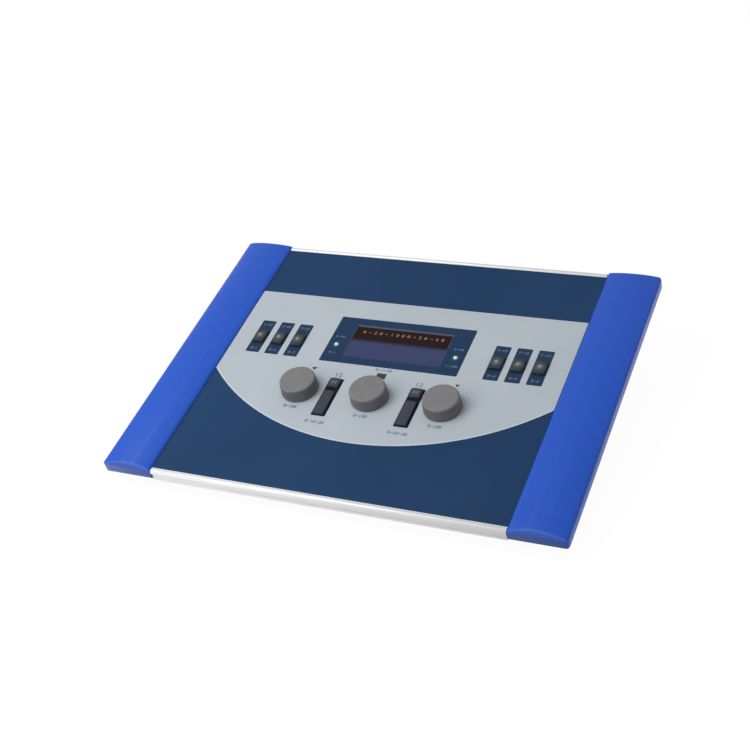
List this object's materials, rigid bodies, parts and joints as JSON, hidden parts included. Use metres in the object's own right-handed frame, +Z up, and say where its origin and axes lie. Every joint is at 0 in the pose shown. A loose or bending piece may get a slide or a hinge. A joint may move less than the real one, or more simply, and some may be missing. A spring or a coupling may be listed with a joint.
{
  "type": "desktop audiometer",
  "caption": "Flat tilted desktop audiometer: blue end caps, silver rails, turning knobs, lit keys, rocking tone bars and a display, with sockets at the rear.",
  "frame": {"origin": "centre of the bounding box in X and Y, on the table that the feet stand on", "axes": "+Z up; the user sits at -Y and the rear panel faces +Y; +X is to the user's right; the deck rises 9 degrees towards +Y"},
  "size_m": [0.365, 0.2628, 0.0662],
  "materials": {
    "cap_plastic": "satin moulded plastic, royal blue",
    "panel_paint": "matt navy coating on aluminium",
    "field_print": "printed foil, light blue-grey, fine matt texture",
    "rail_aluminium": "natural anodised extrusion",
    "screw_steel": "zinc plated",
    "tray_paint": "fine textured dark grey powder coat",
    "pillar_steel": "nickel plated",
    "foot_rubber": "matt black rubber",
    "bezel_plastic": "matt navy plastic",
    "window_filter": "tinted glossy acrylic, brown-red band above a violet-blue field",
    "module_black": "black plastic",
    "lamp_green": "lit green-white lens",
    "board_laminate": "green solder mask",
    "encoder_metal": "plated encoder body",
    "socket_metal": "plated socket shell",
    "ribbon_grey": "grey ribbon",
    "key_plastic": "dark olive-grey plastic",
    "key_lamp": "pale lens",
    "bar_plastic": "slate plastic with a fine grain",
    "knob_plastic": "warm mid-grey plastic, fine matt grain",
    "shaft_steel": "ground steel"
  },
  "bodies": {
    "chassis": {"front_rail": "rail_aluminium", "rear_rail": "rail_aluminium", "top_plate": "panel_paint", "control_foil": "field_print", "left_end_cap": "cap_plastic", "right_end_cap": "cap_plastic", "end_cap_screws": "screw_steel", "base_pan": "tray_paint", "chassis_pillars": "pillar_steel", "base_screws": "screw_steel", "rear_panel": "tray_paint", "rubber_feet": "foot_rubber", "display_bezel": "bezel_plastic", "display_window": "window_filter", "display_module": "module_black", "status_leds": "lamp_green", "main_board": "board_laminate", "board_standoffs": "pillar_steel", "board_screws": "screw_steel", "switch_housings": "module_black", "key_bezel_1": "bezel_plastic", "key_bezel_2": "bezel_plastic", "key_bezel_3": "bezel_plastic", "key_bezel_4": "bezel_plastic", "key_bezel_5": "bezel_plastic", "key_bezel_6": "bezel_plastic", "bar_bezel_left": "module_black", "bar_bezel_right": "module_black", "encoder_left": "encoder_metal", "encoder_centre": "encoder_metal", "encoder_right": "encoder_metal", "encoder_nuts": "screw_steel", "phone_jacks": "module_black", "jack_nuts": "screw_steel", "dc_inlet": "module_black", "serial_socket": "socket_metal", "io_board": "board_laminate", "ribbon_cable": "ribbon_grey"},
    "knob_left": {"knob_left": "knob_plastic", "shaft_left": "shaft_steel"},
    "knob_centre": {"knob_centre": "knob_plastic", "shaft_centre": "shaft_steel"},
    "knob_right": {"knob_right": "knob_plastic", "shaft_right": "shaft_steel"},
    "key_1": {"key_1": "key_plastic", "key_lens_1": "key_lamp"},
    "key_2": {"key_2": "key_plastic", "key_lens_2": "key_lamp"},
    "key_3": {"key_3": "key_plastic", "key_lens_3": "key_lamp"},
    "key_4": {"key_4": "key_plastic", "key_lens_4": "key_lamp"},
    "key_5": {"key_5": "key_plastic", "key_lens_5": "key_lamp"},
    "key_6": {"key_6": "key_plastic", "key_lens_6": "key_lamp"},
    "store_key_left": {"store_key_left": "bar_plastic"},
    "store_key_right": {"store_key_right": "bar_plastic"},
    "tone_bar_left": {"tone_bar_left": "bar_plastic"},
    "tone_bar_right": {"tone_bar_right": "bar_plastic"}
  },
  "joints": [
    {"name": "knob_left_turn", "type": "hinge", "parent": "chassis", "child": "knob_left", "pos_m": [-0.0589, -0.03085, 0.03713], "axis": [0, -0.1564, 0.9877], "continuous": true},
    {"name": "knob_centre_turn", "type": "hinge", "parent": "chassis", "child": "knob_centre", "pos_m": [0, -0.03085, 0.03713], "axis": [0, -0.1564, 0.9877], "continuous": true},
    {"name": "knob_right_turn", "type": "hinge", "parent": "chassis", "child": "knob_right", "pos_m": [0.0589, -0.03085, 0.03713], "axis": [0, -0.1564, 0.9877], "continuous": true},
    {"name": "key_1_press", "type": "slide", "parent": "chassis", "child": "key_1", "axis": [0, -0.1564, 0.9877], "range_m": [-0.0008, 0], "stiffness_N_per_m": 300},
    {"name": "key_2_press", "type": "slide", "parent": "chassis", "child": "key_2", "axis": [0, -0.1564, 0.9877], "range_m": [-0.0008, 0], "stiffness_N_per_m": 300},
    {"name": "key_3_press", "type": "slide", "parent": "chassis", "child": "key_3", "axis": [0, -0.1564, 0.9877], "range_m": [-0.0008, 0], "stiffness_N_per_m": 300},
    {"name": "key_4_press", "type": "slide", "parent": "chassis", "child": "key_4", "axis": [0, -0.1564, 0.9877], "range_m": [-0.0008, 0], "stiffness_N_per_m": 300},
    {"name": "key_5_press", "type": "slide", "parent": "chassis", "child": "key_5", "axis": [0, -0.1564, 0.9877], "range_m": [-0.0008, 0], "stiffness_N_per_m": 300},
    {"name": "key_6_press", "type": "slide", "parent": "chassis", "child": "key_6", "axis": [0, -0.1564, 0.9877], "range_m": [-0.0008, 0], "stiffness_N_per_m": 300},
    {"name": "store_key_left_press", "type": "slide", "parent": "chassis", "child": "store_key_left", "axis": [0, -0.1564, 0.9877], "range_m": [-0.0008, 0], "stiffness_N_per_m": 300},
    {"name": "store_key_right_press", "type": "slide", "parent": "chassis", "child": "store_key_right", "axis": [0, -0.1564, 0.9877], "range_m": [-0.0008, 0], "stiffness_N_per_m": 300},
    {"name": "tone_bar_left_press", "type": "hinge", "parent": "chassis", "child": "tone_bar_left", "pos_m": [-0.0338, -0.03222, 0.03428], "axis": [1, 0, 0], "range_deg": [0, 2.8], "stiffness_Nm_per_rad": 0.3},
    {"name": "tone_bar_right_press", "type": "hinge", "parent": "chassis", "child": "tone_bar_right", "pos_m": [0.0338, -0.03222, 0.03428], "axis": [1, 0, 0], "range_deg": [0, 2.8], "stiffness_Nm_per_rad": 0.3}
  ]
}
